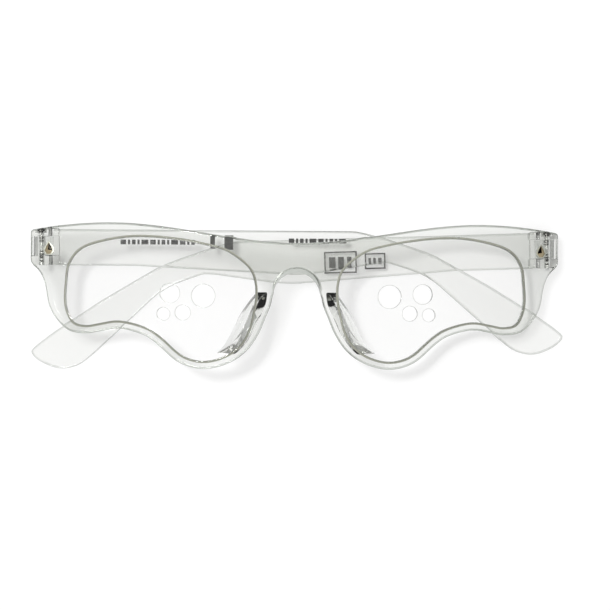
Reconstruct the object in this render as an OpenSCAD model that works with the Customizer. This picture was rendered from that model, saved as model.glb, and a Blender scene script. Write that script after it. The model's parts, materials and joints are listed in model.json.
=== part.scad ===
// Eye drop guide glasses: clear moulded spectacles whose lenses carry guide holes for an eye
// dropper. Drawn folded and lying on the outer temple, front face up, brow towards +Y.
// The front is laid out upright, viewer's side +Z, and turned into its lying pose at the end.

/* [Lenses] */
// Width of one lens opening
lens_w = 51; // [47:1:55]
// Height of one lens opening
lens_h = 33; // [30:1:37]
// Thickness of a lens plate
lens_t = 1.8; // [1.4:0.1:2.2]
// Depth of the lens plate below the front of the rim
lens_set = 0.9; // [0.7:0.1:1.2]
// Reach of the lens edge into its groove
groove_d = 0.6; // [0.4:0.1:0.9]
// Gap between the lens edge and its groove
lens_gap = 0.05; // [0.03:0.01:0.1]

/* [Guide holes] */
// Radius of the largest hole, nearest the nose
hole_a_r = 3.1; // [2.6:0.1:3.4]
// Radius of the second hole, outward of the first
hole_b_r = 2.6; // [2.2:0.1:3]
// Radius of the third hole, below and between
hole_c_r = 2; // [1.6:0.1:2.2]
// Radius of the smallest hole, below and outward
hole_d_r = 1.7; // [1.4:0.1:1.9]
// Distance of the largest hole outward of the lens opening's nose edge
hole_a_x = 14; // [13:0.5:15]
// Height of the upper pair of holes above the lens centre
hole_up = 0.8; // [0.5:0.1:1.8]
// Plastic left between the two upper holes
hole_web = 3.3; // [2.8:0.1:3.8]
// Rise of the second hole above the largest
hole_b_rise = 0.7; // [0:0.1:1]
// Distance of the third hole outward of the largest
hole_c_x = 5.5; // [5:0.1:6]
// Fall of the third hole below the largest
hole_c_fall = 4.5; // [4.2:0.1:5]
// Distance of the smallest hole outward of the largest
hole_d_x = 10.7; // [10.4:0.1:11.4]
// Fall of the smallest hole below the largest
hole_d_fall = 4.9; // [4.6:0.1:5.4]

/* [Front] */
// Distance between the two lens openings
bridge_w = 22.2; // [18:0.5:26]
// Height of the bridge bar between brow dip and nose arch
bridge_h = 7.1; // [6:0.1:8]
// Depth of the brow's dip at the bridge below its crest
brow_dip = 5.4; // [4.4:0.1:6.2]
// Radius of the nose arch
arch_r = 6.3; // [5.6:0.1:6.5]
// Slope of the underside of the bridge, falling towards the back
saddle_tilt = 20; // [12:1:26]
// Thickness of the front, face to back
front_t = 3.8; // [3.4:0.1:4.6]
// Radius to which the front is bowed
bow_r = 260; // [220:10:340]
// Rim width along the bottom
rim_low = 2.2; // [1.8:0.1:2.8]
// Rim width beside the nose
rim_nose = 4.5; // [4:0.1:5]
// Rim width at the outer side
rim_side = 5.2; // [4.6:0.1:5.8]
// Brow height above the lens opening at the crest
brow_t = 4; // [3.4:0.1:5]
// Distance of the brow's crest outward of the lens centre
crest_out = 13.8; // [12.5:0.5:15]
// Fall of the brow from its crest to the outer corner
brow_fall = 2; // [1.4:0.1:2.6]
// Width of the end piece outside the lens opening
end_w = 9.9; // [9.3:0.1:11]
// Height of the flat outer side of the end piece
end_h = 7.5; // [6.5:0.1:8.5]
// Rounding of the end piece's upper corner
corner_r = 1; // [0.8:0.1:1.4]

/* [Nose pads] */
// Wall of a nose pad
pad_t = 2.6; // [2.2:0.1:3]
// Radius of a pad's round back edge, seen from the side
pad_r = 8.5; // [7.5:0.1:9]
// Middle of a pad below the lens centre
pad_low = 6.5; // [5.5:0.5:7.5]
// Middle of a pad behind the front face
pad_deep = 2.4; // [2:0.2:3]
// Outward lean of a pad towards its back edge
pad_flare = 22; // [16:1:26]

/* [Hinges] */
// Pin axis inward of the outer side of the end piece
pin_in = 3.2; // [3:0.1:3.6]
// Pin axis behind the front face at the middle of the bow
pin_back = 16; // [15.5:0.1:17]
// Middle of the hinges below the brow's crest
pin_drop = 6.6; // [6.2:0.1:7]
// Height of the tongue between the lugs
tongue_h = 5; // [4.4:0.1:5.4]
// Radius of the tongue's round end
tongue_r = 2.7; // [2.4:0.1:2.8]
// Middle of the tongue above the hinge middle
tongue_mid = 0.35; // [0:0.05:0.5]
// Gap between tongue and lugs, above, below and in front
hinge_gap = 0.12; // [0.08:0.01:0.2]
// Gap between the temple's butt and the lugs
butt_gap = 0.3; // [0.2:0.05:0.5]
// Radius of the lugs' round inner corner
lug_r = 3.1; // [2.9:0.05:3.15]
// Reach of the lugs inward of the pin, in front of the temple's butt
lug_in = 4.9; // [4.6:0.1:5.4]
// Lean of both pins in the plane of the front
hinge_lean = 1; // [0:0.1:2]

/* [Hinge screws] */
// Radius of the screw's shank
screw_r = 0.8; // [0.6:0.05:1]
// Radius of the screw's head
screw_head_r = 1.6; // [1.4:0.05:1.8]
// Height of the screw's head
screw_head_h = 1.1; // [0.8:0.1:1.3]
// Width and depth of the driver slot
driver_slot = 0.5; // [0.4:0.1:0.7]
// Radial gap of the screw in the lugs
screw_gap = 0.03; // [0.02:0.01:0.05]
// Radial running gap of the tongue on the screw
pin_gap = 0.06; // [0.03:0.01:0.09]

/* [Temples] */
// Length of the straight part, pin to ear bend
straight_l = 96; // [88:1:104]
// Length of the ear part beyond the bend
ear_l = 52; // [46:1:58]
// Downward turn of the ear part
ear_drop = 33; // [28:1:38]
// Width of the ear part at its widest
ear_w = 11.3; // [10:0.1:12.5]
// Temple edge above the pin's middle at the hinge
temple_up = 5; // [4.6:0.1:5.4]
// Temple edge below the pin's middle at the hinge
temple_dn = 4.9; // [4.5:0.1:5.3]
// Rise of the temple's upper edge along its middle
temple_bow = 0.6; // [0:0.1:1]
// Depth of the belly below the pin's middle
belly_dn = 6.9; // [6:0.1:7.6]
// Thickness of the temple at the hinge
temple_t = 3; // [2.8:0.1:3.2]
// Distance from the pin to where the temple starts to thin
taper_from = 30; // [20:5:50]
// Thickness of the temple at its tip
tip_t = 2.4; // [2:0.1:2.8]
// Droop of the temples below square to their pins
temple_droop = 1; // [0:0.1:2]

/* [Folded pose] */
// Rise of the left temple towards the front when folded
fold_left = 1.5; // [1.4:0.1:2.2]
// Fall of the right temple away from the front when folded
fold_right = 2.45; // [2:0.05:3]

/* [Drop studs] */
// Width of a teardrop stud
stud_w = 2.95; // [2.5:0.05:3.4]
// Height of a teardrop stud
stud_h = 3.85; // [3.4:0.05:4.4]
// Depth of a stud's seat in the end piece
stud_seat = 0.6; // [0.4:0.1:0.9]
// Height of a stud's crown above the end piece
stud_crown = 0.55; // [0.4:0.05:0.8]
// Gap round a stud in its seat
stud_gap = 0.03; // [0.02:0.01:0.05]
// Distance of a stud inward of the outer side of the end piece
stud_in = 5; // [4.5:0.1:5.5]
// Middle of a stud's round part below the hinge middle
stud_low = 0.8; // [0.4:0.1:1.2]
// Share of a stud's outline left at the top of its crown
stud_face = 0.45; // [0.35:0.05:0.6]

/* [Hidden] */
$fn = 64;

// Points of a smooth curve for each knot
steps = 4;

// Lens opening, in halves of its width and height: +1 is outward and up, -1 is the nose side
// and down. Round lobe beside the nose, arch under the iris, small dip at the outer corner.
LENS = [[1, 0], [0.99, 0.27], [0.965, 0.545], [0.865, 0.77], [0.69, 0.895], [0.37, 0.99],
        [0.075, 0.995], [-0.22, 0.945], [-0.475, 0.87], [-0.705, 0.765], [-0.92, 0.515],
        [-0.99, 0.27], [-0.995, 0], [-0.965, -0.26], [-0.92, -0.52], [-0.835, -0.745],
        [-0.7, -0.91], [-0.525, -1], [-0.37, -0.995], [-0.21, -0.895], [0, -0.61],
        [0.17, -0.455], [0.43, -0.36], [0.645, -0.405], [0.78, -0.44], [0.912, -0.39],
        [0.98, -0.2]];
dip_v = -0.44;

// Tip of a temple, in ear widths: forward of its end and up from its middle
TIP = [[-0.62, 0.6], [-0.115, 0.565], [0, 0.485], [-0.03, 0.26], [-0.2, -0.045],
       [-0.42, -0.265], [-0.76, -0.4], [-1.15, -0.4]];

in_x = bridge_w / 2;
out_x = in_x + lens_w;
mid_x = in_x + lens_w / 2;
end_x = out_x + end_w;
crest = lens_h / 2 + brow_t;
bridge_top = crest - brow_dip;
pin_y = crest - pin_drop;
crest_x = mid_x + crest_out;
end_top = crest - brow_fall;
end_low = end_top - end_h;
pin_x = end_x - pin_in;

// Reach of cuts and blanks, past everything behind the front
deep = 30;

// Smooth curve through a list of points
function blend(a, b, c, d, t) = 0.5 * (2 * b + (c - a) * t + (2 * a - 5 * b + 4 * c - d) * t * t
    + (3 * b - a - 3 * c + d) * t * t * t);
function ring(p) = let (n = len(p)) [for (i = [0:n - 1], k = [0:steps - 1])
    blend(p[(i + n - 1) % n], p[i], p[(i + 1) % n], p[(i + 2) % n], k / steps)];
function run(p) = let (n = len(p)) concat([for (i = [0:n - 2], k = [0:steps - 1])
    blend(p[max(i - 1, 0)], p[i], p[i + 1], p[min(i + 2, n - 1)], k / steps)], [p[n - 1]]);
function bezier(a, b, c, d, n) = [for (i = [0:n]) let (t = i / n, s = 1 - t)
    s * s * s * a + 3 * s * s * t * b + 3 * s * t * t * c + t * t * t * d];
function normal(p, i) = let (n = len(p), t = p[(i + 1) % n] - p[(i + n - 1) % n])
    [t[1], -t[0]] / norm(t);
function grow(p, d) = [for (i = [0:len(p) - 1]) p[i] + d * normal(p, i)];
function flip(p) = [for (i = [len(p) - 1:-1:0]) [-p[i][0], p[i][1]]];
function turn(q, a) = [q[0] * cos(a) - q[1] * sin(a), q[0] * sin(a) + q[1] * cos(a)];

// Rim width at a station of the lens opening
function rim_at(q) =
    q[0] < -0.6 ? rim_low + (rim_nose - rim_low) * pow(min(max(q[1] + 1, 0), 1), 1.5) :
    q[0] > 0.75 ? rim_low + (rim_side - rim_low) * pow(min(max(1 - q[1] / dip_v, 0), 1), 0.75) :
    rim_low;

lens_knots = [for (q = LENS) [mid_x + q[0] * lens_w / 2, q[1] * lens_h / 2]];
rim_knots = [for (i = [0:len(LENS) - 1]) lens_knots[i] + rim_at(LENS[i]) * normal(lens_knots, i)];
lens_edge = ring(lens_knots);
rim_edge = ring(rim_knots);

// Upper half of the front's outline on the right: dip, crest, corner, and the curve that
// draws the end piece in to the rim
brow_steps = 16;
brow_rise = [for (i = [0:brow_steps]) let (t = i / brow_steps)
    [crest_x * t, bridge_top + (crest - bridge_top) * t * t * (3 - 2 * t)]];
drop_steps = 6;
drop_end = 1 - corner_r / (end_x - crest_x);
brow_drop = [for (i = [1:drop_steps]) let (t = drop_end * i / drop_steps)
    [crest_x + (end_x - crest_x) * t, crest - brow_fall * t * t]];
end_slope = atan(2 * brow_fall / (end_x - crest_x));
corner_mid = [end_x - corner_r, end_top + corner_r * (tan(end_slope) - 1 / cos(end_slope))];
end_corner = [for (k = [0:5]) let (a = (90 - end_slope) * (1 - k / 5))
    corner_mid + corner_r * [cos(a), sin(a)]];
end_pull = [0.2, -3.5];
rim_pull = [1, -1.1];
rim_meet = rim_knots[0];
end_curve = bezier([end_x, end_low], [end_x, end_low] + end_pull,
    [rim_meet[0], end_low] + rim_pull, rim_meet, 10);
arch_y = bridge_top - bridge_h - arch_r;
saddle_drop = front_t * tan(saddle_tilt);
arch_mid = [0, arch_y - saddle_drop];

// The arch's leg rises straight from its foot on the rim and runs smoothly into the arc
arch_foot = rim_edge[13 * steps];
leg = arch_foot - arch_mid;
leg_turn = atan2(leg[1], leg[0]) + acos(arch_r / norm(leg));
arch = [for (k = [0:8]) let (a = leg_turn + (90 - leg_turn) * k / 8)
    arch_mid + arch_r * [cos(a), sin(a)]];
half_brow = concat(brow_rise, brow_drop, end_corner, end_curve, [[mid_x, 0], arch_foot], arch);

// Temple outline seen from its outer side, along the temple and up from the pin's middle
function ear(s, w) = [straight_l, -0.5] + turn([s, w], -ear_drop);
butt_x = lug_r + butt_gap;
ear_top = ear_w * 0.6;
ear_low = ear_w * 0.4;
belly = belly_dn - temple_dn;
temple_knots = concat([
    [butt_x, temple_up], [straight_l * 0.27, temple_up + temple_bow * 0.6],
    [straight_l * 0.57, temple_up + temple_bow], [straight_l * 0.83, temple_up],
    [straight_l * 0.92, temple_up - temple_bow], ear(ear_w * 0.67, ear_w * 0.41),
    ear(ear_l * 0.32, ear_w * 0.495), ear(ear_l * 0.52, ear_w * 0.565),
    ear(ear_l * 0.72, ear_top)],
    [for (q = TIP) ear(ear_l + q[0] * ear_w, q[1] * ear_w)],
    [ear(ear_l * 0.6, -ear_w * 0.31), ear(ear_l * 0.4, -ear_w * 0.17), ear(ear_w, -ear_w * 0.09),
    [straight_l, -ear_w * 0.375], [straight_l * 0.97, -ear_w * 0.335],
    [straight_l * 0.91, -ear_low], [straight_l * 0.76, -belly_dn],
    [straight_l * 0.65, -belly_dn], [straight_l * 0.5, -temple_dn - belly * 0.65],
    [straight_l * 0.26, -temple_dn], [butt_x, -temple_dn]]);
temple_edge = run(temple_knots);
temple_off = pin_in;

// Pose of the whole: the front leans by the fold of the outer temple, which lies flat
tilt = fold_right;
function lay(q) = [q[0] * cos(tilt) + q[2] * sin(tilt), q[1], q[2] * cos(tilt) - q[0] * sin(tilt)];
left_pin = lay([-pin_x, pin_y, -pin_back]);
right_pin = lay([pin_x, pin_y, -pin_back]);
left_tip = max([for (q = temple_edge) turn(q, hinge_lean - temple_droop)[0]]);
right_tip = max([for (q = temple_edge) turn(q, -hinge_lean - temple_droop)[0]]);
right_dip = min([for (q = temple_edge) turn(q, -hinge_lean - temple_droop)[1]]);
rim_dip = min([for (q = rim_edge) q[1]]);
low_z = right_pin[2] - temple_off;
max_x = left_pin[0] + left_tip * cos(tilt - fold_left);
min_x = right_pin[0] - right_tip;
min_y = min(rim_dip, pin_y + right_dip);
base = [(min_x + max_x) / 2, (min_y + crest) / 2, low_z];

// Sets the upright front down into its lying pose on the origin
module lie() {
    translate(-base) rotate([0, tilt, 0]) children();
}

// Solid between two depths below the bowed front face
module bowed(top, under) {
    translate([0, 0, -bow_r]) rotate([90, 0, 0]) difference() {
        cylinder(r = bow_r - top, h = 3 * deep, center = true, $fn = 180);
        cylinder(r = bow_r - under, h = 4 * deep, center = true, $fn = 180);
    }
}

// A part of the right half, and its mirror image on the left
module both() {
    children();
    mirror([1, 0, 0]) children();
}

// Bowed plate with a given outline
module plate(edge, top, under) {
    intersection() {
        translate([0, 0, -deep]) linear_extrude(deep + 1) polygon(edge);
        bowed(top, under);
    }
}

// Turns a right-hand piece into the one for its side, 1 for right and -1 for left
module on_side(side) {
    if (side > 0) children();
    else mirror([1, 0, 0]) children();
}

// Hinge frame: origin at the pin's middle, Y along the pin, +X outward
module at_pin(side) {
    translate([side * pin_x, pin_y, -pin_back]) rotate([0, 0, hinge_lean])
        on_side(side) children();
}

lug_top = temple_up;
lug_low = -temple_dn;
lug_h = lug_top - lug_low;
lug_corner = 1;
slot_reach = lug_in + 3;

// Depth to which the lugs are drawn into the front, forward of the pin
lug_root = 9;

// Both lugs as one block round the pin, rooted in the front, whose outline trims its outer side
module lug_block() {
    side = pin_in + 1;
    foot = lug_corner - lug_r;
    lug = concat([[side, lug_root], [side, foot - lug_corner], [pin_in - lug_corner, foot - lug_corner]],
        [for (a = [0:10:90]) [-lug_r * sin(a), -lug_r * cos(a)]],
        [[-lug_r, butt_gap], [-lug_in, butt_gap], [-lug_in, lug_root]]);
    translate([0, lug_top, 0]) rotate([90, 0, 0]) linear_extrude(lug_h) polygon(lug);
}

// Slot between the lugs, open to the back and to the inner side for the tongue's swing
module lug_slot() {
    h = tongue_h + 2 * hinge_gap;
    r = tongue_r + hinge_gap;
    translate([0, tongue_mid, 0]) {
        rotate([90, 0, 0]) cylinder(r = r, h = h, center = true);
        translate([-slot_reach, -h / 2, -slot_reach]) cube([2 * slot_reach, h, slot_reach]);
        translate([-slot_reach, -h / 2, -0.1]) cube([slot_reach, h, r + 0.1]);
    }
}

// Bore through both lugs, with a counterbore for the screw's head
module screw_holes() {
    rotate([90, 0, 0]) cylinder(r = screw_r + screw_gap, h = lug_h + 4, center = true);
    translate([0, lug_top + 1, 0]) rotate([90, 0, 0])
        cylinder(r = screw_head_r + screw_gap, h = screw_head_h + 1 + screw_gap);
}

// Curved flange along the rim beside the nose, round at its back edge
module nose_pad() {
    first = 12 * steps - 3;
    last = 16 * steps;
    face = [for (i = [first:last]) rim_edge[i]];
    back = [for (i = [last:-1:first]) rim_edge[i] - pad_t * normal(rim_edge, i)];
    foot = -front_t / 2;
    intersection() {
        translate([0, 0, foot]) rotate([0, -pad_flare, 0])
            translate([0, 0, -deep / 2]) linear_extrude(deep / 2 + 0.6)
                polygon(concat(face, back));
        translate([0, -pad_low, -pad_deep]) rotate([0, 90, 0]) cylinder(r = pad_r, h = deep);
        translate([0, -deep, -deep]) cube([deep, 2 * deep, deep + foot]);
    }
}

// Teardrop outline, point up
module drop_shape(extra) {
    r = stud_w / 2;
    rise = stud_h - r;
    a = acos(r / rise);
    polygon(grow(concat([for (k = [-6:6]) let (b = -90 + k * (180 - a) / 6)
        [r * cos(b), r * sin(b)]], [[0, rise]]), extra));
}

stud_x = end_x - stud_in;
stud_y = pin_y - stud_low;
stud_turn = asin(stud_x / bow_r);

// Frame on the bowed face at the right-hand stud
module at_stud() {
    translate([0, stud_y, -bow_r]) rotate([0, stud_turn, 0]) translate([0, 0, bow_r]) children();
}

module front_outline() {
    polygon(concat(half_brow, flip(half_brow)));
    both() polygon(rim_edge);
}

module front_frame() {
    color([0.93, 0.94, 0.93, 0.45]) lie() difference() {
        union() {
            intersection() {
                translate([0, 0, -deep]) linear_extrude(deep + 1) difference() {
                    front_outline();
                    both() polygon(lens_edge);
                }
                union() {
                    bowed(0, front_t);
                    for (s = [-1, 1]) intersection() {
                        at_pin(s) lug_block();
                        bowed(front_t / 2, deep);
                    }
                }
            }
            both() difference() {
                nose_pad();
                plate(lens_edge, -1, front_t + lens_gap);
            }
        }
        both() {
            plate(grow(lens_edge, groove_d + lens_gap), lens_set - lens_gap,
                lens_set + lens_t + lens_gap);
            at_stud() translate([0, 0, -stud_seat]) linear_extrude(2 * stud_seat)
                drop_shape(stud_gap);
        }
        for (s = [-1, 1]) at_pin(s) {
            lug_slot();
            screw_holes();
        }
        translate([0, arch_y, 0]) rotate([-saddle_tilt, 0, 0])
            cylinder(r = arch_r, h = deep, center = true);
    }
}

// Guide holes: outward and up from the largest, and radius
HOLES = [[0, 0, hole_a_r], [hole_a_r + hole_web + hole_b_r, hole_b_rise, hole_b_r],
         [hole_c_x, -hole_c_fall, hole_c_r], [hole_d_x, -hole_d_fall, hole_d_r]];

module lens(side) {
    color([0.9, 0.93, 0.94, 0.35]) lie() on_side(side) difference() {
        plate(grow(lens_edge, groove_d), lens_set, lens_set + lens_t);
        for (q = HOLES) translate([in_x + hole_a_x + q[0], hole_up + q[1], -deep])
            cylinder(r = q[2], h = deep + 1);
    }
}

inner_face = temple_t - temple_off;
arm_end = -straight_l - ear_l;

module temple(side) {
    fold = side > 0 ? -fold_right : fold_left;
    color([0.9, 0.92, 0.91, 0.5]) lie() at_pin(side) rotate([0, fold, 0]) difference() {
        union() {
            rotate([0, 0, temple_droop]) intersection() {
                translate([0, 0, -temple_off]) linear_extrude(temple_t)
                    polygon([for (q = temple_edge) [-q[0], q[1]]]);
                rotate([90, 0, 0]) linear_extrude(4 * deep, center = true) polygon([
                    [-butt_x, -temple_off], [arm_end, -temple_off],
                    [arm_end, tip_t - temple_off], [-straight_l, tip_t - temple_off],
                    [-taper_from, inner_face], [-butt_x, inner_face]]);
            }
            translate([0, tongue_mid, 0]) rotate([90, 0, 0]) {
                cylinder(r = tongue_r, h = tongue_h, center = true);
                linear_extrude(tongue_h, center = true) polygon([[0, -tongue_r],
                    [-butt_x - 1, 0.2 - temple_off], [-butt_x - 1, inner_face],
                    [-butt_x, inner_face], [-tongue_r, 0.6], [0, tongue_r]]);
            }
        }
        rotate([90, 0, 0]) cylinder(r = screw_r + pin_gap, h = lug_h + 4, center = true);
    }
}

module hinge_screw(side) {
    color("silver") lie() at_pin(side) difference() {
        translate([0, lug_top, 0]) rotate([90, 0, 0]) {
            cylinder(r = screw_head_r, h = screw_head_h);
            cylinder(r = screw_r, h = lug_h);
        }
        translate([-screw_head_r - 1, lug_top - driver_slot, -driver_slot / 2])
            cube([2 * screw_head_r + 2, 2 * driver_slot, driver_slot]);
    }
}

module drop_stud(side) {
    color([0.75, 0.68, 0.55]) lie() on_side(side) at_stud()
        translate([0, 0, stud_gap - stud_seat]) {
            linear_extrude(stud_seat) drop_shape(0);
            translate([0, 0, stud_seat]) linear_extrude(stud_crown, scale = stud_face)
                drop_shape(0);
        }
}

front_frame();
lens(-1);  // lens_left
lens(1);  // lens_right
temple(-1);  // temple_left
temple(1);  // temple_right
hinge_screw(-1);  // hinge_screw_left
hinge_screw(1);  // hinge_screw_right
drop_stud(-1);  // drop_stud_left
drop_stud(1);  // drop_stud_right
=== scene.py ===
import bmesh
import bpy
import json
from math import asin, atan2, cos, hypot, pi, radians, sin
from mathutils import Matrix, Vector
from mathutils.bvhtree import BVHTree


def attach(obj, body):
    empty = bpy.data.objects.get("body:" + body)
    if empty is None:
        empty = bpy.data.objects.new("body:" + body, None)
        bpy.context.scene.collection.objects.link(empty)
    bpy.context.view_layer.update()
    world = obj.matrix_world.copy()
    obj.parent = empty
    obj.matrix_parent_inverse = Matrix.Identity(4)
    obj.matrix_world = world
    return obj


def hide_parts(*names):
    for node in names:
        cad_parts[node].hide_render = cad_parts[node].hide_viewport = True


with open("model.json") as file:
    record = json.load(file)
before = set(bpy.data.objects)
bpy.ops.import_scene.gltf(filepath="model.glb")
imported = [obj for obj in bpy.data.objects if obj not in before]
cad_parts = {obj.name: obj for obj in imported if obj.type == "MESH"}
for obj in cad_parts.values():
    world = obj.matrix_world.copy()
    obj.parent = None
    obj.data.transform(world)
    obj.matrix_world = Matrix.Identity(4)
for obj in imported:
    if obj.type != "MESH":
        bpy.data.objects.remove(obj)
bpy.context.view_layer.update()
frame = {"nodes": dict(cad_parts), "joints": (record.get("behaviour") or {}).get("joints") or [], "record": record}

# Camera. The glasses were photographed from straight above, from a little over half a metre,
# so the far temple looks hardly smaller than the front.
eye = Vector((0.00237, -0.002, 0.5771))
picture_roll = radians(0.327)
film_width = 36
focal_length = 122.3
nearest = 0.01

camera = bpy.data.objects.new("camera", bpy.data.cameras.new("camera"))
camera.data.sensor_width = film_width
camera.data.lens = focal_length
camera.data.clip_start = nearest
camera.data.dof.use_dof = False
camera.matrix_world = Matrix.Translation(eye) @ Matrix.Rotation(picture_roll, 4, "Z")
bpy.context.scene.collection.objects.link(camera)
bpy.context.scene.camera = camera
bpy.context.scene.view_settings.view_transform = "Standard"


# Table and light. The folded glasses lie on a white sheet, which clears at a slant, so that the
# opened temples show where they swing below it. One small lamp stands high up to the left, in a
# studio with a pale ceiling and darker walls, and all is white below and behind the glasses.
sheet_side = 3.0
sheet_sink = 0.0002
sheet_white = 0.86
sheet_glow = 0.2
sheet_slant = 0.5
sheet_clear = 0.9
lamp_at = Vector((-0.2, 0.18, 1.0))
lamp_side = 0.16
lamp_power = 5.6
wall_grey = 0.26
wall_top = 0.1
ceiling_white = 0.7
ceiling_edge = 0.6
backdrop_white = 1.06
backdrop_edge = -0.02
backdrop_full = -0.12


def reckon(tree, operation, *values):
    """Joins values in a Math node, each of them a number or another node's socket."""
    node = tree.nodes.new("ShaderNodeMath")
    node.operation = operation
    for socket, value in zip(node.inputs, values):
        if isinstance(value, (int, float)):
            socket.default_value = value
        else:
            tree.links.new(value, socket)
    return node.outputs[0]


def seen_ray(tree):
    """1 for the rays that look for a background: the camera's, mirrored ones and refracted ones."""
    path = tree.nodes.new("ShaderNodeLightPath").outputs
    direct = reckon(tree, "MAXIMUM", path["Is Camera Ray"], path["Is Glossy Ray"])
    return reckon(tree, "MAXIMUM", direct, path["Is Transmission Ray"])


def table_paper():
    """White paper that keeps the shadows on it, and lets more through the flatter it is looked at."""
    material = bpy.data.materials.new("table_paper")
    material.use_nodes = True
    tree = material.node_tree
    tree.nodes.clear()
    paper = tree.nodes.new("ShaderNodeBsdfDiffuse")
    paper.inputs["Color"].default_value = (sheet_white, sheet_white, sheet_white, 1)
    glow = tree.nodes.new("ShaderNodeEmission")
    both = tree.nodes.new("ShaderNodeAddShader")
    clear = tree.nodes.new("ShaderNodeBsdfTransparent")
    slant = tree.nodes.new("ShaderNodeLayerWeight")
    slant.inputs["Blend"].default_value = sheet_slant
    sheet = tree.nodes.new("ShaderNodeMixShader")
    out = tree.nodes.new("ShaderNodeOutputMaterial")
    tree.links.new(reckon(tree, "MULTIPLY", seen_ray(tree), sheet_glow), glow.inputs["Strength"])
    tree.links.new(paper.outputs[0], both.inputs[0])
    tree.links.new(glow.outputs[0], both.inputs[1])
    tree.links.new(reckon(tree, "MULTIPLY", slant.outputs["Facing"], sheet_clear), sheet.inputs[0])
    tree.links.new(both.outputs[0], sheet.inputs[1])
    tree.links.new(clear.outputs[0], sheet.inputs[2])
    tree.links.new(sheet.outputs[0], out.inputs["Surface"])
    return material


bm = bmesh.new()
bmesh.ops.create_grid(bm, x_segments=1, y_segments=1, size=sheet_side / 2)
bmesh.ops.translate(bm, verts=bm.verts, vec=(0, 0, -sheet_sink))
table_mesh = bpy.data.meshes.new("table_sheet")
bm.to_mesh(table_mesh)
bm.free()
table_sheet = bpy.data.objects.new("table_sheet", table_mesh)
bpy.context.scene.collection.objects.link(table_sheet)
table_mesh.materials.append(table_paper())

lamp = bpy.data.objects.new("soft_lamp", bpy.data.lights.new("soft_lamp", "AREA"))
lamp.data.shape = "SQUARE"
lamp.data.size = lamp_side
lamp.data.energy = lamp_power
towards_glasses = (-lamp_at).to_track_quat("-Z", "Y").to_matrix().to_4x4()
lamp.matrix_world = Matrix.Translation(lamp_at) @ towards_glasses
bpy.context.scene.collection.objects.link(lamp)

studio = bpy.data.worlds.new("studio")
studio.use_nodes = True
bpy.context.scene.world = studio
tree = studio.node_tree
tree.nodes.clear()
way = tree.nodes.new("ShaderNodeTexCoord")
height = tree.nodes.new("ShaderNodeSeparateXYZ")
tree.links.new(way.outputs["Generated"], height.inputs[0])
bands = ((wall_top, ceiling_edge, wall_grey, ceiling_white),
         (backdrop_edge, backdrop_full, 0, backdrop_white))
shades = []
for start, end, from_shade, to_shade in bands:
    fade = tree.nodes.new("ShaderNodeMapRange")
    fade.inputs["From Min"].default_value = start
    fade.inputs["From Max"].default_value = end
    fade.inputs["To Min"].default_value = from_shade
    fade.inputs["To Max"].default_value = to_shade
    tree.links.new(height.outputs["Z"], fade.inputs["Value"])
    shades.append(fade.outputs[0])
look = tree.nodes.new("ShaderNodeLightPath")
seen = reckon(tree, "MULTIPLY", look.outputs["Is Camera Ray"], backdrop_white)
air = tree.nodes.new("ShaderNodeBackground")
out = tree.nodes.new("ShaderNodeOutputWorld")
tree.links.new(reckon(tree, "MAXIMUM", reckon(tree, "MAXIMUM", *shades), seen), air.inputs["Strength"])
tree.links.new(air.outputs[0], out.inputs["Surface"])


# Front frame. One clear moulding, bowed round the face, with grooves for the lenses, lugs for
# the hinges and pads for the nose. Its mould and polishing leave its outer edges a little round.
bow_r = 260
front_t = 3.8
front_apex = 16
outline_round = 0.55
opening_round = 0.25
hinge_round = 0.2
pad_round = 0.35
pad_reach = 26
end_reach = 60
stud_along = 67.8
stud_up = -0.8
stud_clear = 3.2
stud_deep = 1

weld = 0.002
near = 0.02
wall_steep = 0.5
same_face = radians(2)
slice_width = 3.0
cut_slack = 0.0001
bow_slack = 0.006
edge_sharp = radians(30)
gloss_sharp = radians(35)
sliver = 0.0005
# Which faces get painted edge shade, by how steep they are.
shade_mark_steep = 0.15
shade_mark_flat = 0.97
# Painted light on the pads and the hinge lugs: how much painted edge shade is taken off them.
pad_painted_light = -1
lug_painted_light = -0.6

plastic_ior = 1.49
finger_marks = 70
mould_ripples = 130
smudge_from = 0.45
smudge_full = 0.7
strayed_far = 7
frame_tint = (0.964, 0.97, 0.961)
# Colour of the painted shade on the plastic's edges and at grazing angles.
frame_edge_shade = (0.3, 0.33, 0.29)
frame_murk = (0.5, 0.52, 0.42)

pins = {joint["name"]: Vector(joint["pos_m"]) for joint in frame["joints"]}
left_pin, right_pin = pins["left_hinge"], pins["right_hinge"]
lie = atan2(left_pin.z - right_pin.z, right_pin.x - left_pin.x)
from_bench = (Matrix.Translation((left_pin + right_pin) / 2) @ Matrix.Rotation(lie, 4, "Y")
              @ Matrix.Scale(0.001, 4))
to_bench = from_bench.inverted()


def merged_copy(node):
    """A CAD solid as a closed mesh on the bench: in millimetres, pins level, front facing up."""
    bm = bmesh.new()
    bm.from_mesh(frame["nodes"][node].data)
    bmesh.ops.transform(bm, matrix=to_bench, verts=bm.verts)
    bmesh.ops.remove_doubles(bm, verts=bm.verts, dist=weld)
    return bm


def whole_faces(bm):
    """Joins the triangles of each flat face, so that only real edges are left."""
    bmesh.ops.dissolve_limit(bm, angle_limit=same_face, verts=bm.verts, edges=bm.edges)


def middle_of(edge):
    """The place of an edge's middle."""
    return (edge.verts[0].co + edge.verts[1].co) / 2


def outer_edges(bm, wanted):
    """The sharp outer edges that are wanted by the place of their middle."""
    return [edge for edge in bm.edges
            if edge.is_manifold and edge.is_convex and edge.calc_face_angle(0) > edge_sharp
            and wanted(middle_of(edge), edge)]


def round_off(bm, edges, width, steps=3):
    """Rounds edges over, and leaves the faces beside them flat in the gloss."""
    bmesh.ops.bevel(bm, geom=edges, offset=width, offset_type="OFFSET", segments=steps,
                    profile=0.5, affect="EDGES", clamp_overlap=False, material=-1,
                    face_strength_mode="ALL")


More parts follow.
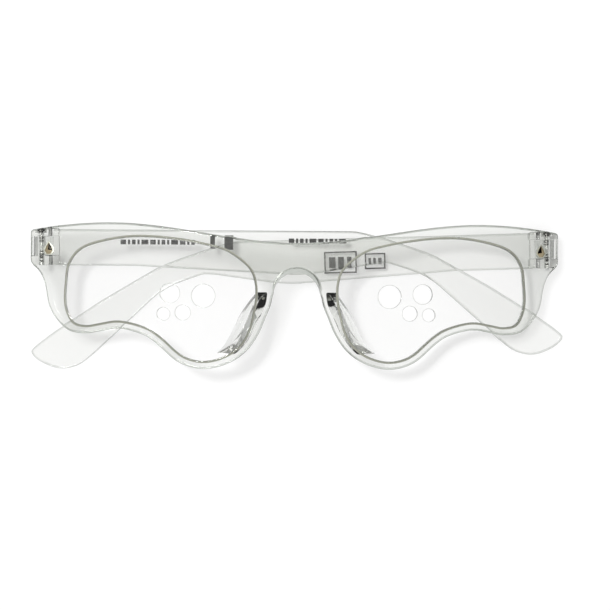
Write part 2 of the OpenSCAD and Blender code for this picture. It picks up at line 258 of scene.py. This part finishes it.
def unbow(bm):
    """Rolls a bowed piece out flat: x becomes the length round the bow, z the height on its face."""
    for vert in bm.verts:
        x, z = vert.co.x, vert.co.z - front_apex + bow_r
        vert.co.x = bow_r * atan2(x, z)
        vert.co.z = hypot(x, z) - bow_r


def bow(bm):
    """Slices the flat piece across and rolls it back round the bow."""
    bmesh.ops.triangulate(bm, faces=bm.faces)
    low, high = min(v.co.x for v in bm.verts), max(v.co.x for v in bm.verts)
    for i in range(1, int((high - low) / slice_width) + 1):
        bmesh.ops.bisect_plane(bm, geom=[*bm.verts, *bm.edges, *bm.faces], dist=cut_slack,
                               plane_co=(low + i * slice_width, 0, 0), plane_no=(1, 0, 0))
    for vert in bm.verts:
        turn, reach = vert.co.x / bow_r, vert.co.z + bow_r
        vert.co.x = reach * sin(turn)
        vert.co.z = reach * cos(turn) - bow_r + front_apex


def set_down(bm, name, materials, body):
    """Puts a bench mesh in its place on the object, as a piece that moves with a body."""
    bmesh.ops.triangulate(bm, faces=bm.faces)
    for face in bm.faces:
        face.smooth = True
    for edge in bm.edges:
        edge.smooth = (edge.calc_face_angle(0) < gloss_sharp
                       or min(face.calc_area() for face in edge.link_faces) < sliver)
    bmesh.ops.transform(bm, matrix=from_bench, verts=bm.verts)
    mesh = bpy.data.meshes.new(name)
    bm.to_mesh(mesh)
    bm.free()
    for material in materials:
        mesh.materials.append(material)
    piece = bpy.data.objects.new(name, mesh)
    bpy.context.scene.collection.objects.link(piece)
    even = piece.modifiers.new("even_gloss", "WEIGHTED_NORMAL")
    even.keep_sharp = True
    even.use_face_influence = True
    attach(piece, body)
    return piece


def true_faces(piece, levels):
    """Turns the normals on the two bowed faces to the true bow, so that nothing is seen in waves.
    Each level is the height of a face with the way it looks, 1 to the front or -1 to the back."""
    view = bpy.context.evaluated_depsgraph_get()
    mesh = piece.data
    normals = [n.vector.copy() for n in piece.evaluated_get(view).data.corner_normals]
    turned = from_bench.to_3x3()
    for face in mesh.polygons:
        reaches = []
        for index in face.vertices:
            at = to_bench @ mesh.vertices[index].co
            reaches.append(Vector((at.x, 0, at.z - front_apex + bow_r)))
        for level, way in levels:
            on = [abs(reach.length - bow_r - level) < bow_slack for reach in reaches]
            for loop, reach, here in zip(face.loop_indices, reaches, on):
                true = (turned @ reach).normalized() * way
                if here and (all(on) or face.normal.angle(true, pi) < gloss_sharp):
                    normals[loop] = true
    piece.modifiers.clear()
    mesh.normals_split_custom_set(normals)


def handling_marks():
    """Node group of smudges from fingers, which dull the gloss, and of faint ripples or grain."""
    group = bpy.data.node_groups.new("handling_marks", "ShaderNodeTree")
    for name in ("Smudge Scale", "Clean", "Smudged", "Ripple Scale"):
        group.interface.new_socket(name=name, in_out="INPUT", socket_type="NodeSocketFloat")
    for name in ("Roughness", "Height"):
        group.interface.new_socket(name=name, in_out="OUTPUT", socket_type="NodeSocketFloat")
    nodes, links = group.nodes, group.links
    given, put = nodes.new("NodeGroupInput"), nodes.new("NodeGroupOutput")
    place = nodes.new("ShaderNodeTexCoord")
    smudge, ripple = nodes.new("ShaderNodeTexNoise"), nodes.new("ShaderNodeTexNoise")
    smudge.inputs["Detail"].default_value = 4
    ripple.inputs["Detail"].default_value = 1
    spread = nodes.new("ShaderNodeMapRange")
    spread.inputs["From Min"].default_value = smudge_from
    spread.inputs["From Max"].default_value = smudge_full
    links.new(place.outputs["Object"], smudge.inputs["Vector"])
    links.new(place.outputs["Object"], ripple.inputs["Vector"])
    links.new(given.outputs["Smudge Scale"], smudge.inputs["Scale"])
    links.new(given.outputs["Ripple Scale"], ripple.inputs["Scale"])
    links.new(smudge.outputs["Fac"], spread.inputs["Value"])
    links.new(given.outputs["Clean"], spread.inputs["To Min"])
    links.new(given.outputs["Smudged"], spread.inputs["To Max"])
    links.new(spread.outputs[0], put.inputs["Roughness"])
    links.new(ripple.outputs["Fac"], put.inputs["Height"])
    return group


marks = handling_marks()


def handled(tree, shader, smudge_scale, clean, smudged, ripple_scale, ripple_depth):
    """Gives a shader the smudges and ripples, at the sizes that suit its material, and returns the
    height of the ripples."""
    worn = tree.nodes.new("ShaderNodeGroup")
    worn.node_tree = marks
    worn.inputs["Smudge Scale"].default_value = smudge_scale
    worn.inputs["Clean"].default_value = clean
    worn.inputs["Smudged"].default_value = smudged
    worn.inputs["Ripple Scale"].default_value = ripple_scale
    bump = tree.nodes.new("ShaderNodeBump")
    bump.inputs["Distance"].default_value = ripple_depth
    tree.links.new(worn.outputs["Roughness"], shader.inputs["Roughness"])
    tree.links.new(worn.outputs["Height"], bump.inputs["Height"])
    tree.links.new(bump.outputs[0], shader.inputs["Normal"])
    return worn.outputs["Height"]


def shaded(tree, shader, share, colour, other):
    """Gives a shader a colour that passes into another one by a share."""
    blend = tree.nodes.new("ShaderNodeMix")
    blend.data_type = "RGBA"
    blend.inputs["A"].default_value = (*colour, 1)
    blend.inputs["B"].default_value = (*other, 1)
    tree.links.new(share, blend.inputs["Factor"])
    tree.links.new(blend.outputs["Result"], shader.inputs["Base Color"])


def mark_painted_shade(bm, wanted):
    """Marks the rounded edges for painted shade, the thin darker lines that clear plastic shows where it refracts
    darker surroundings.
    """
    bm.normal_update()
    shade_mark = bm.faces.layers.float.new("painted_shade_mark")
    for face in bm.faces:
        if shade_mark_steep < abs(face.normal.z) < shade_mark_flat and wanted(face.calc_center_median()):
            face[shade_mark] = 1


def clear_plastic(name, tint, edge_shade, edge_blend, marked_shade_weight, shade, murk, murk_colour, smudged,
                  ripple_depth):
    """Polished clear plastic, with painted shade along its marked edges and where it is looked at along its
    surface, for the darker surroundings that it refracts there and partly for its longer path. It lets lamp light
    through to what lies below it, and lets light out again that has strayed about inside it."""
    material = bpy.data.materials.new(name)
    material.use_nodes = True
    tree = material.node_tree
    tree.nodes.clear()
    gloss = tree.nodes.new("ShaderNodeBsdfPrincipled")
    gloss.inputs["Transmission Weight"].default_value = 1
    gloss.inputs["IOR"].default_value = plastic_ior
    handled(tree, gloss, finger_marks, 0, smudged, mould_ripples, ripple_depth)
    # Painted shade: the colour turns to the edge shade at grazing angles and on the marked edges; faces marked
    # below zero get painted light instead.
    grazing_shade = tree.nodes.new("ShaderNodeLayerWeight")
    grazing_shade.inputs["Blend"].default_value = edge_blend
    shade_marks = tree.nodes.new("ShaderNodeAttribute")
    shade_marks.attribute_name = "painted_shade_mark"
    shade_share = reckon(tree, "MULTIPLY_ADD", shade_marks.outputs["Fac"], marked_shade_weight, grazing_shade.outputs["Facing"])
    shade_share.node.use_clamp = True
    shaded(tree, gloss, shade_share, tint, edge_shade)
    path = tree.nodes.new("ShaderNodeLightPath").outputs
    lighting = reckon(tree, "MAXIMUM", path["Is Shadow Ray"], path["Is Diffuse Ray"])
    strayed = reckon(tree, "GREATER_THAN", path["Ray Depth"], strayed_far)
    through = tree.nodes.new("ShaderNodeBsdfTransparent")
    through.inputs["Color"].default_value = (shade, shade, shade, 1)
    surface = tree.nodes.new("ShaderNodeMixShader")
    inside = tree.nodes.new("ShaderNodeVolumeAbsorption")
    inside.inputs["Color"].default_value = (*murk_colour, 1)
    inside.inputs["Density"].default_value = murk
    out = tree.nodes.new("ShaderNodeOutputMaterial")
    tree.links.new(reckon(tree, "MAXIMUM", lighting, strayed), surface.inputs[0])
    tree.links.new(gloss.outputs[0], surface.inputs[1])
    tree.links.new(through.outputs[0], surface.inputs[2])
    tree.links.new(surface.outputs[0], out.inputs["Surface"])
    tree.links.new(inside.outputs[0], out.inputs["Volume"])
    return material


frame_plastic = clear_plastic("frame_plastic", tint=frame_tint, edge_shade=frame_edge_shade,
                              edge_blend=0.5, marked_shade_weight=0.6, shade=0.86, murk=25,
                              murk_colour=frame_murk, smudged=0.05, ripple_depth=0.000006)


def lip(edge):
    """True at a lens opening, where the wall beside the edge is only as high as the groove's lip."""
    return any(max(v.co.z for v in face.verts) - min(v.co.z for v in face.verts) < front_t / 2
               and abs(face.normal.z) < wall_steep for face in edge.link_faces)


def on_faces(at):
    """True on the front or the back of the flat moulding."""
    return abs(at.z) < near or abs(at.z + front_t) < near


def by_stud(at):
    """True round the seat of a drop stud, whose edge stays sharp."""
    return hypot(abs(at.x) - stud_along, at.y - stud_up) < stud_clear and at.z > -stud_deep


def behind(at):
    """True on the pads and the hinge lugs, which stand out at the back."""
    return at.z < -front_t - near


def mark_painted_light(bm):
    """Marks the pads and the hinge lugs for painted light, which takes the painted edge shade off them and makes
    them paler than the front.
    """
    shade_mark = bm.faces.layers.float["painted_shade_mark"]
    for face in bm.faces:
        middle = face.calc_center_median()
        if behind(middle):
            face[shade_mark] = pad_painted_light if abs(middle.x) < pad_reach else lug_painted_light


bm = merged_copy("front_frame")
unbow(bm)
whole_faces(bm)
groups = [
    (outline_round, lambda at, edge: on_faces(at) and not by_stud(at) and not lip(edge)),
    (opening_round, lambda at, edge: on_faces(at) and not by_stud(at) and lip(edge)),
    (hinge_round, lambda at, edge: behind(at) and abs(at.x) > end_reach),
    (pad_round, lambda at, edge: behind(at) and abs(at.x) < end_reach),
]
for width, wanted in groups:
    round_off(bm, outer_edges(bm, wanted), width)
# Painted shade along the rounded edges, and painted light on the pads and the lugs.
mark_painted_shade(bm, lambda at: at.z > -front_t)
mark_painted_light(bm)
bow(bm)
front_moulding = set_down(bm, "front_moulding", [frame_plastic], "front")
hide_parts("front_frame")
true_faces(front_moulding, ((0, 1), (-front_t, -1)))


# Lenses. Clear flat-polished plates, whose ground edges sit in the grooves of the rims, with four
# holes drilled in each for the tip of a dropper.
lens_set = 0.9
lens_t = 1.8
ground_bevel = 0.36
hole_round = 0.2
hole_reach = 0.5
level_within = 0.2
polished_flat = 0.95
lens_tint = (1, 1, 1)
# Colour of the painted shade round the mouths of the holes.
lens_edge_shade = (0.5, 0.52, 0.48)
lens_murk = (0.5, 0.52, 0.44)
# Greys of the ground lens edges: their own frosted look, with painted shade of the groove.
ground_frost_and_shade = (0.52, 0.52, 0.43)
ground_frost_and_shade_pale = (0.6, 0.6, 0.51)
lens_plastic = clear_plastic("lens_plastic", tint=lens_tint, edge_shade=lens_edge_shade,
                             edge_blend=0.3, marked_shade_weight=0.6, shade=0.99, murk=6,
                             murk_colour=lens_murk, smudged=0.03, ripple_depth=0.000003)


def ground_plastic():
    """Clear plastic with a ground surface, olive grey from outside: partly its own frosted look, partly painted
    shade of the groove that holds it.
    """
    material = bpy.data.materials.new("ground_plastic")
    material.use_nodes = True
    tree = material.node_tree
    satin = tree.nodes["Principled BSDF"]
    grain = handled(tree, satin, smudge_scale=900, clean=0.4, smudged=0.65, ripple_scale=2500,
                    ripple_depth=0.00003)
    shaded(tree, satin, grain, ground_frost_and_shade, ground_frost_and_shade_pale)
    return material


def near_hole(at, holes):
    """True in a guide hole and at its mouths, for a place on the flat lens."""
    x = bow_r * sin(at.x / bow_r)
    return any(hypot(x - mid.x, at.y - mid.y) < r + hole_reach for mid, r in holes)


lens_edge = ground_plastic()
for side in ("left", "right"):
    holes = [(to_bench @ Vector(mount["pos_m"]), mount["dims"]["r_mm"])
             for mount in frame["record"]["mounts"] if mount["name"].startswith(f"guide_hole_{side}")]
    bm = merged_copy(f"lens_{side}")
    unbow(bm)
    whole_faces(bm)
    edges = outer_edges(bm, lambda at, edge:
                        abs(edge.verts[0].co.z - edge.verts[1].co.z) < level_within)
    mouths = [edge for edge in edges if near_hole(middle_of(edge), holes)]
    round_off(bm, [edge for edge in edges if edge not in mouths], ground_bevel, steps=1)
    for face in bm.faces:
        if abs(face.normal.z) < polished_flat and not near_hole(face.calc_center_median(), holes):
            face.material_index = 1
    round_off(bm, [edge for edge in mouths if edge.is_valid], hole_round, steps=2)
    # Painted shade round the mouths of the holes.
    mark_painted_shade(bm, lambda at: near_hole(at, holes))
    bow(bm)
    plate = set_down(bm, f"lens_{side}_plate", [lens_plastic, lens_edge], "front")
    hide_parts(f"lens_{side}")
    true_faces(plate, ((-lens_set, 1), (-lens_set - lens_t, -1)))


# Temples. Clear arms of the same plastic as the front, each with a tongue that turns on its screw
# and a bent part that goes behind the ear.
temple_round = 0.6
hinge_zone = 8
temple_tint = (0.984, 0.987, 0.98)
temple_plastic = clear_plastic("temple_plastic", tint=temple_tint, edge_shade=frame_edge_shade,
                               edge_blend=0.5, marked_shade_weight=0.3, shade=0.98, murk=20,
                               murk_colour=frame_murk, smudged=0.05, ripple_depth=0.000006)
for side in ("left", "right"):
    pin = to_bench @ pins[f"{side}_hinge"]
    bm = merged_copy(f"temple_{side}")
    whole_faces(bm)
    round_off(bm, outer_edges(bm, lambda at, edge: abs(at.x - pin.x) >= hinge_zone), temple_round)
    round_off(bm, outer_edges(bm, lambda at, edge: abs(at.x - pin.x) < hinge_zone), hinge_round,
              steps=2)
    # Painted shade along the arm's rounded edges, but not at the hinge.
    mark_painted_shade(bm, lambda at: abs(at.x - pin.x) > hinge_zone)
    arm = set_down(bm, f"temple_{side}_arm", [temple_plastic], f"temple_{side}")
    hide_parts(f"temple_{side}")


# Hinge screws. Turned steel, driven in from above: a slotted head with a flange, a waisted neck
# with two rings, a smooth part that the temple turns on, and a thread that holds in the lower lug.
# The profile gives the radius and the height above the middle of the hinge.
head_profile = [(0, 5.0), (1.25, 5.0), (1.5, 4.85), (1.6, 4.6), (1.6, 4.4), (1.5, 4.3), (1.0, 4.2),
                (1.0, 4.1), (1.45, 4.0), (1.45, 3.9), (0.8, 3.9), (0.55, 3.7)]
neck_profile = [(0.45, 3.0), (0.5, 2.75), (0.78, 2.65), (0.8, 2.3), (0.45, 2.15), (0.45, 1.95),
                (0.78, 1.85), (0.8, 1.5), (0.5, 1.35)]
shank_profile = [(0.45, -0.9), (0.6, -1.0), (0.6, -1.25), (0.45, -1.35), (0.45, -1.6), (0.7, -1.7)]
one_thread = [(0.8, 0), (0.8, -0.15), (0.6, -0.22), (0.6, -0.3)]
foot_profile = [(0.7, -3.0), (0.4, -3.1), (0.4, -3.5), (0.7, -3.6), (0.75, -3.9), (0.45, -4.0),
                (0.45, -4.8), (0.35, -4.9), (0, -4.9)]
thread_top = -1.75
thread_pitch = 0.4
thread_turns = 3
# Heights of the bands where the steel is painted bright, as painted reflection; the rest is painted dark, as
# painted shade.
painted_light_bands = [(2.75, 3.8), (1.95, 2.2), (-0.95, 1.4), (-1.65, -1.3), (-3.52, -3.08),
                (-4.9, -3.98)]
top_from = 4.99
screw_steps = 32
seam_weld = 0.001
slot_half = 0.25
slot_depth = 0.5
screw_profile = head_profile + neck_profile + shank_profile
for i in range(thread_turns):
    screw_profile += [(r, thread_top - i * thread_pitch + s) for r, s in one_thread]
screw_profile += foot_profile


def metal(name, colour, grain_colour, clean, smudged):
    """Metal with a fine grain in its colour, and smudges that dull its gloss."""
    material = bpy.data.materials.new(name)
    material.use_nodes = True
    tree = material.node_tree
    gloss = tree.nodes["Principled BSDF"]
    gloss.inputs["Metallic"].default_value = 1
    grain = handled(tree, gloss, smudge_scale=1200, clean=clean, smudged=smudged,
                    ripple_scale=4000, ripple_depth=0.000004)
    shaded(tree, gloss, grain, colour, grain_colour)
    return material


def draw_out(bm, faces, by):
    """Extrudes faces by a step and returns the ones that moved."""
    made = bmesh.ops.extrude_face_region(bm, geom=faces)["geom"]
    moved = [part for part in made if isinstance(part, bmesh.types.BMVert)]
    bmesh.ops.translate(bm, verts=moved, vec=by)
    return [part for part in made if isinstance(part, bmesh.types.BMFace)]


# One steel in two copies: a dark one, painted shade, and a bright one in bands, painted reflection.
screw_steel = metal("screw_steel", colour=(0.2, 0.195, 0.19), grain_colour=(0.12, 0.115, 0.11),
                    clean=0.22, smudged=0.4)
steel_painted_light = metal("steel_painted_light", colour=(0.9, 0.9, 0.88), grain_colour=(0.8, 0.8, 0.78),
                     clean=0.15, smudged=0.3)
for side in ("left", "right"):
    joint = next(joint for joint in frame["joints"] if joint["name"] == f"{side}_hinge")
    pin = to_bench @ pins[f"{side}_hinge"]
    up = (to_bench.to_3x3() @ Vector(joint["axis"])).normalized()
    up = up if up.y > 0 else -up
    bm = bmesh.new()
    outline = [bm.verts.new((r, 0, s)) for r, s in screw_profile]
    edges = [bm.edges.new(pair) for pair in zip(outline, outline[1:])]
    bmesh.ops.spin(bm, geom=[*outline, *edges], cent=(0, 0, 0), axis=(0, 0, 1), angle=2 * pi,
                   steps=screw_steps, use_merge=True)
    bmesh.ops.remove_doubles(bm, verts=bm.verts, dist=seam_weld)
    for x in (-slot_half, slot_half):
        bmesh.ops.bisect_plane(bm, geom=[*bm.verts, *bm.edges, *bm.faces], dist=cut_slack,
                               plane_co=(x, 0, 0), plane_no=(1, 0, 0))
    bmesh.ops.recalc_face_normals(bm, faces=bm.faces)
    top = [face for face in bm.faces if face.calc_center_median().z > top_from
           and abs(face.calc_center_median().x) < slot_half]
    draw_out(bm, top, (0, 0, -slot_depth))
    bmesh.ops.delete(bm, geom=top, context="FACES")
    for face in bm.faces:
        middle = face.calc_center_median().z
        face.material_index = int(any(low < middle < high for low, high in painted_light_bands))
    stand = Matrix.Translation(pin) @ up.to_track_quat("Z", "Y").to_matrix().to_4x4()
    bmesh.ops.transform(bm, verts=bm.verts, matrix=stand)
    screw = set_down(bm, f"hinge_{side}_screw", [screw_steel, steel_painted_light], "front")
    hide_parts(f"hinge_screw_{side}")


# Drop studs. Small cut teardrops of pale gold in a thin collar, pressed into the end pieces. The facets towards
# the nose are black. The corners are those of the left stud, seen from the front, and the right one mirrors it.
stud_x = 67.0
crown_from = 0.06
collar_wide = 0.22
collar_high = 0.04
facet_seat = 0.02
facet_wall = 0.1
facet_corners = [(0, 2.0), (-0.75, 0.75), (-1.1, -0.25), (-0.5, -1.15), (0.5, -1.15), (1.1, -0.25),
                 (0.7, 0.85)]
facet_peak = Vector((-0.08, -0.05, 0.52))
nose_facets_from = 0.1
gold = metal("stud_gold", colour=(0.7, 0.6, 0.4), grain_colour=(0.5, 0.41, 0.26),
             clean=0.12, smudged=0.25)
collar_gold = metal("collar_gold", colour=(0.7, 0.71, 0.62), grain_colour=(0.6, 0.61, 0.52),
                    clean=0.35, smudged=0.5)
black_facet = metal("nose_black_facet", colour=(0.003, 0.003, 0.003), grain_colour=(0.006, 0.005, 0.004),
               clean=0.08, smudged=0.2)
for side, way in (("left", -1), ("right", 1)):
    seat = (Matrix.Translation((0, stud_up, front_apex - bow_r))
            @ Matrix.Rotation(way * asin(stud_x / bow_r), 4, "Y")
            @ Matrix.Translation((0, 0, bow_r)))
    bm = merged_copy(f"drop_stud_{side}")
    bmesh.ops.transform(bm, matrix=seat.inverted(), verts=bm.verts)
    whole_faces(bm)
    crown = [face for face in bm.faces if face.calc_center_median().z > crown_from]
    bmesh.ops.delete(bm, geom=crown, context="FACES")
    open_edges = [edge for edge in bm.edges if edge.is_boundary]
    lid = bmesh.ops.edgeloop_fill(bm, edges=open_edges)["faces"]
    bmesh.ops.inset_region(bm, faces=lid, thickness=collar_wide, depth=0)
    bmesh.ops.translate(bm, verts=lid[0].verts, vec=(0, 0, collar_high))
    for face in bm.faces:
        face.material_index = 1
    corners = [bm.verts.new((-way * x, y, collar_high - facet_seat)) for x, y in facet_corners]
    table = draw_out(bm, [bm.faces.new(corners)], (0, 0, facet_wall))
    fan = bmesh.ops.poke(bm, faces=table)
    fan["verts"][0].co = (-way * facet_peak.x, facet_peak.y, facet_peak.z)
    for face in fan["faces"]:
        middle = face.calc_center_median()
        nose_side = -way * middle.x > nose_facets_from and middle.y > -nose_facets_from
        face.material_index = 2 if nose_side else 0
    bmesh.ops.recalc_face_normals(bm, faces=bm.faces)
    bmesh.ops.transform(bm, matrix=seat, verts=bm.verts)
    stud = set_down(bm, f"drop_{side}_stud", [gold, collar_gold, black_facet], "front")
    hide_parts(f"drop_stud_{side}")


# Print. Rows of plain dashes, single bars and boxed bars, printed in dark ink on the inner faces
# of the temples. Places are given from the hinge pin, along and across the arm: each row by its
# start, height and count, each bar or box by its middle, length and height.
ink_black = (0.01, 0.01, 0.01)
ink_grey = (0.06, 0.06, 0.055)
ink_thick = 0.03
print_droop = {"left": 0, "right": radians(2)}
dash_tall = 1.3
dash_gap = 0.5
dash_widths = (1.5, 0.6, 1.0, 0.6, 1.9)
dash_rows = {"left": [(21, 1.6, 13), (67, 2.2, 10)], "right": []}
bars = {"left": [(46.2, 1.8, 1.3, 3.8), (50.6, 1.6, 2.4, 4.0)],
        "right": [(58.6, -1.6, 1.8, 3.0), (56.2, -1.6, 1.6, 3.0), (53.9, -1.6, 1.2, 3.0),
                  (48.2, -1.5, 0.7, 1.8), (46.9, -1.5, 0.7, 1.8), (45.4, -1.5, 0.9, 1.8)]}
boxes = {"left": [], "right": [(56.3, -1.6, 9.0, 6.0), (46.7, -1.5, 5.7, 4.4)]}
box_line = 0.4
above_all = 40


def print_ink():
    """Matt black ink, which lies a little uneven."""
    material = bpy.data.materials.new("print_ink")
    material.use_nodes = True
    tree = material.node_tree
    matt = tree.nodes["Principled BSDF"]
    grain = handled(tree, matt, smudge_scale=1500, clean=0.5, smudged=0.8, ripple_scale=3000,
                    ripple_depth=0.000004)
    shaded(tree, matt, grain, ink_black, ink_grey)
    return material


def ink_bar(bm, along, height, long, tall):
    """One printed bar, placed by its middle."""
    placed = Matrix.Translation((along, height, 0)) @ Matrix.Diagonal((long, tall, 1, 1))
    bmesh.ops.create_grid(bm, x_segments=2, y_segments=1, size=0.5, matrix=placed)


ink = print_ink()
for side, way in (("left", 1), ("right", -1)):
    pin = to_bench @ pins[f"{side}_hinge"]
    arm = merged_copy(f"temple_{side}")
    bed = BVHTree.FromBMesh(arm)
    arm.free()
    bm = bmesh.new()
    for start, height, count in dash_rows[side]:
        along = start
        for i in range(count):
            long = dash_widths[i % len(dash_widths)]
            ink_bar(bm, along + long / 2, height, long, dash_tall)
            along += long + dash_gap
    for bar in bars[side]:
        ink_bar(bm, *bar)
    for along, height, long, tall in boxes[side]:
        for step in (-1, 1):
            ink_bar(bm, along, height + step * (tall - box_line) / 2, long, box_line)
            ink_bar(bm, along + step * (long - box_line) / 2, height, box_line,
                    tall - 2 * box_line)
    turned = Matrix.Rotation(print_droop[side], 4, "Z") @ Matrix.Diagonal((way, 1, 1, 1))
    bmesh.ops.transform(bm, verts=bm.verts, matrix=Matrix.Translation(pin) @ turned)
    for vert in bm.verts:
        over = Vector((vert.co.x, vert.co.y, above_all))
        vert.co.z = bed.ray_cast(over, Vector((0, 0, -1)))[0].z
    bmesh.ops.recalc_face_normals(bm, faces=bm.faces)
    draw_out(bm, bm.faces[:], (0, 0, ink_thick))
    bmesh.ops.recalc_face_normals(bm, faces=bm.faces)
    marks_piece = set_down(bm, f"print_{side}", [ink], f"temple_{side}")
